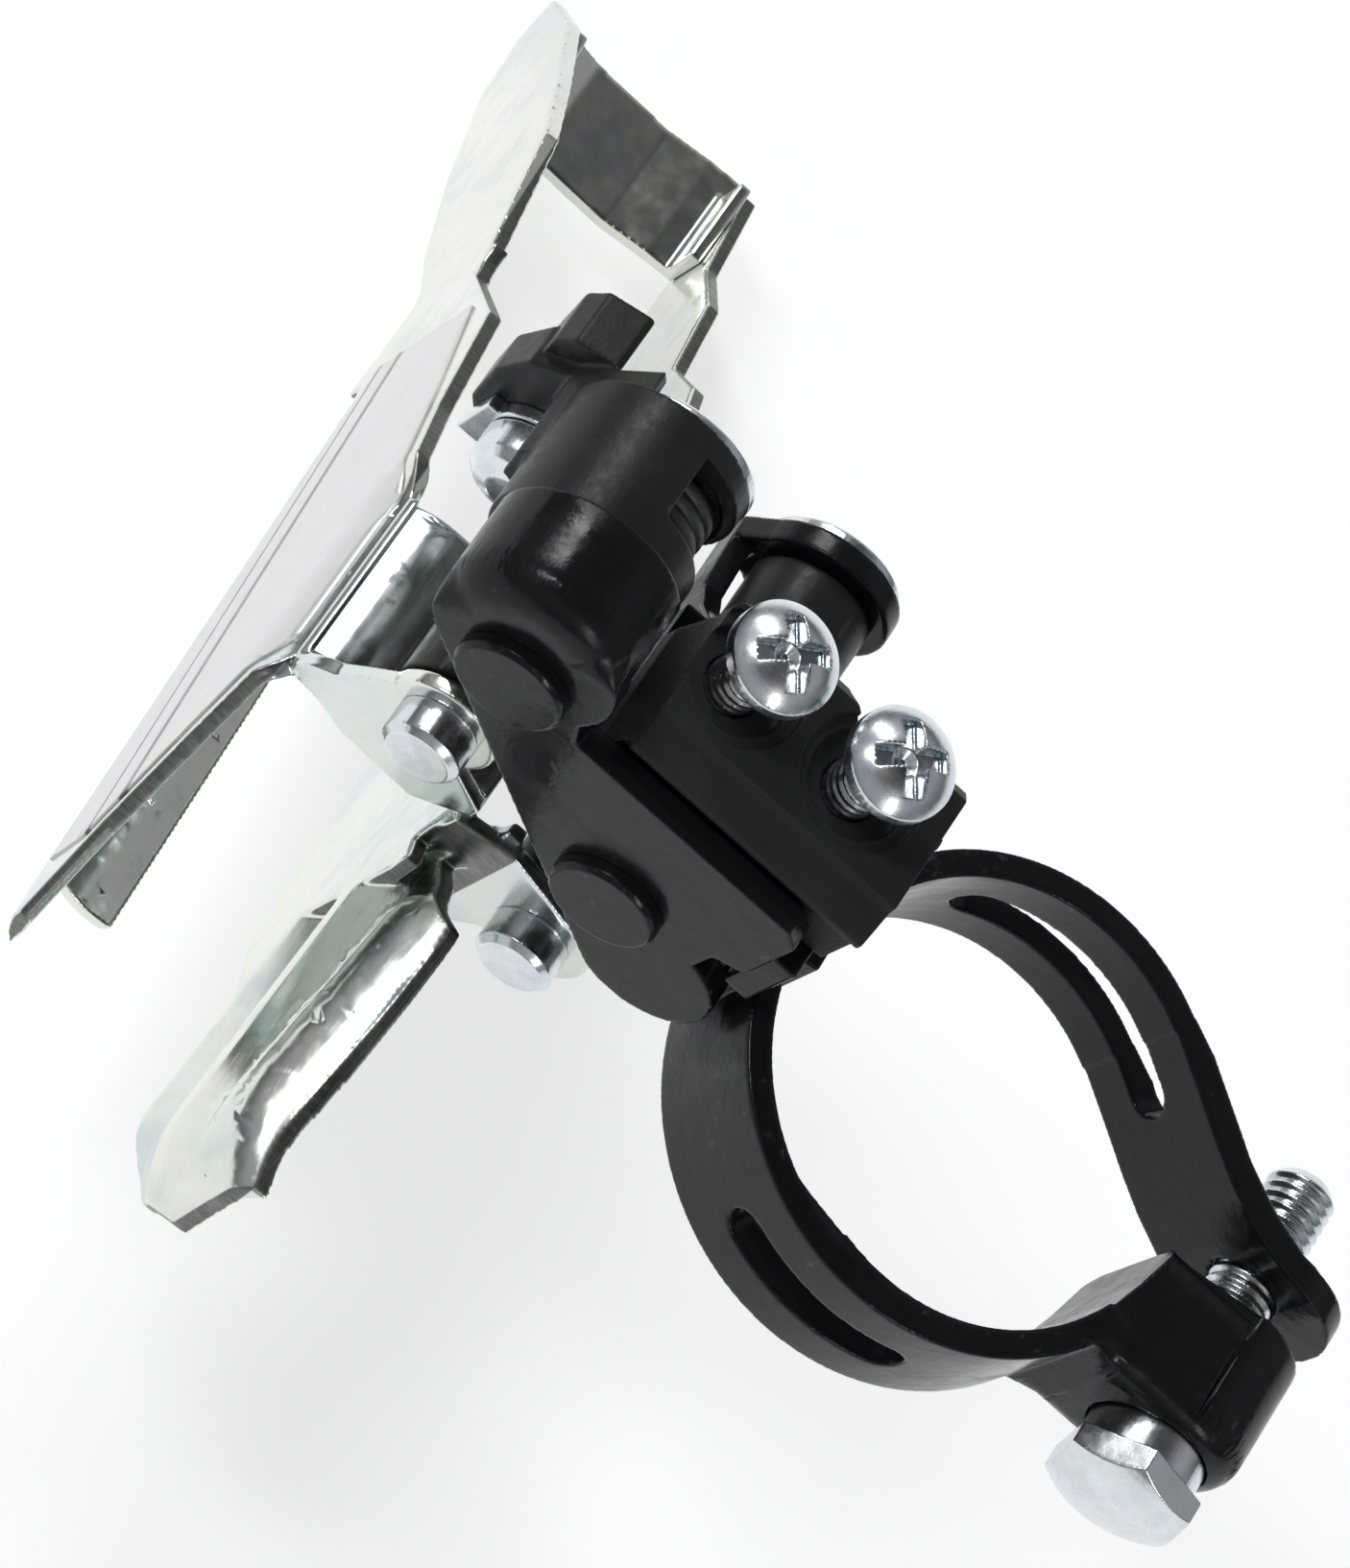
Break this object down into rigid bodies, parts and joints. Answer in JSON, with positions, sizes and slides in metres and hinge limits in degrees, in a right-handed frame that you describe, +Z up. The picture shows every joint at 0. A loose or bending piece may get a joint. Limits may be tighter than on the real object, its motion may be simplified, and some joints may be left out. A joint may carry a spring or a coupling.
{
  "type": "front derailleur",
  "caption": "Band-clamp front derailleur for a bicycle: a sprung parallelogram linkage carries a plated steel cage that moves the chain between chainrings.",
  "frame": {"origin": "centre of the seat tube bore, at the middle of the clamp band's width", "axes": "+X bike-forward, +Y inboard to the bike's non-drive side, +Z up along the seat tube"},
  "size_m": [0.106, 0.0834, 0.0819],
  "materials": {
    "black_paint": "gloss",
    "black_cast": "satin",
    "black_plastic": "matte",
    "zinc_plate": "polished",
    "zinc_hardware": "satin",
    "spring_steel": "satin",
    "pale_plastic": "matte",
    "label_film": "satin"
  },
  "bodies": {
    "mount_body": {"bracket": "black_paint", "clamp_band_rear": "black_paint", "clamp_band_front": "black_paint", "adjuster_block": "black_plastic", "outer_pivot_pin": "black_paint", "inner_pivot_pin": "black_paint", "outer_pin_disc": "zinc_hardware", "inner_pin_disc": "zinc_hardware"},
    "clamp_bolt_body": {"clamp_bolt": "zinc_hardware"},
    "low_screw_body": {"low_limit_screw": "zinc_hardware"},
    "high_screw_body": {"high_limit_screw": "zinc_hardware"},
    "outer_link_body": {"outer_link": "black_cast", "return_spring": "spring_steel", "spring_sleeve": "pale_plastic", "cable_washer": "zinc_hardware", "cable_nut": "zinc_hardware"},
    "cable_bolt_body": {"cable_bolt": "zinc_hardware"},
    "inner_link_body": {"inner_link": "black_cast", "inner_link_bushes": "pale_plastic"},
    "cage_body": {"cage_outer_plate": "zinc_plate", "cage_inner_plate": "zinc_plate", "cage_outer_stud": "zinc_hardware", "cage_inner_stud": "zinc_hardware", "cage_stud_clips": "spring_steel", "bridge_rivets": "zinc_hardware", "tail_bridge": "zinc_plate", "cage_label": "label_film"}
  },
  "joints": [
    {"name": "outer_link_pivot", "type": "hinge", "parent": "mount_body", "child": "outer_link_body", "pos_m": [0, -0.0435, 0.0183], "axis": [-1, 0, 0], "range_deg": [0, 50], "stiffness_Nm_per_rad": 0.12, "springref_deg": -51.57},
    {"name": "inner_link_pivot", "type": "hinge", "parent": "mount_body", "child": "inner_link_body", "pos_m": [0, -0.028, 0.0056], "axis": [-1, 0, 0], "range_deg": [0, 50]},
    {"name": "cage_pivot", "type": "hinge", "parent": "outer_link_body", "child": "cage_body", "pos_m": [0, -0.0415, 0.0001], "axis": [-1, 0, 0], "range_deg": [-50, 0]},
    {"name": "low_screw_turn", "type": "hinge", "parent": "mount_body", "child": "low_screw_body", "pos_m": [-0.0021, -0.0227, 0.0242], "axis": [0, 0, 1], "continuous": true},
    {"name": "high_screw_turn", "type": "hinge", "parent": "mount_body", "child": "high_screw_body", "pos_m": [-0.0021, -0.0323, 0.0242], "axis": [0, 0, 1], "continuous": true},
    {"name": "clamp_bolt_turn", "type": "hinge", "parent": "mount_body", "child": "clamp_bolt_body", "pos_m": [0.0106, 0.0224, 0], "axis": [1, 0, 0], "continuous": true},
    {"name": "cable_bolt_turn", "type": "hinge", "parent": "outer_link_body", "child": "cable_bolt_body", "pos_m": [-0.0102, -0.0485, 0.0093], "axis": [1, 0, 0], "continuous": true}
  ],
  "couplings": [
    {"joint": "inner_link_pivot", "follows": "outer_link_pivot", "ratio": 1},
    {"joint": "cage_pivot", "follows": "outer_link_pivot", "ratio": -1}
  ]
}
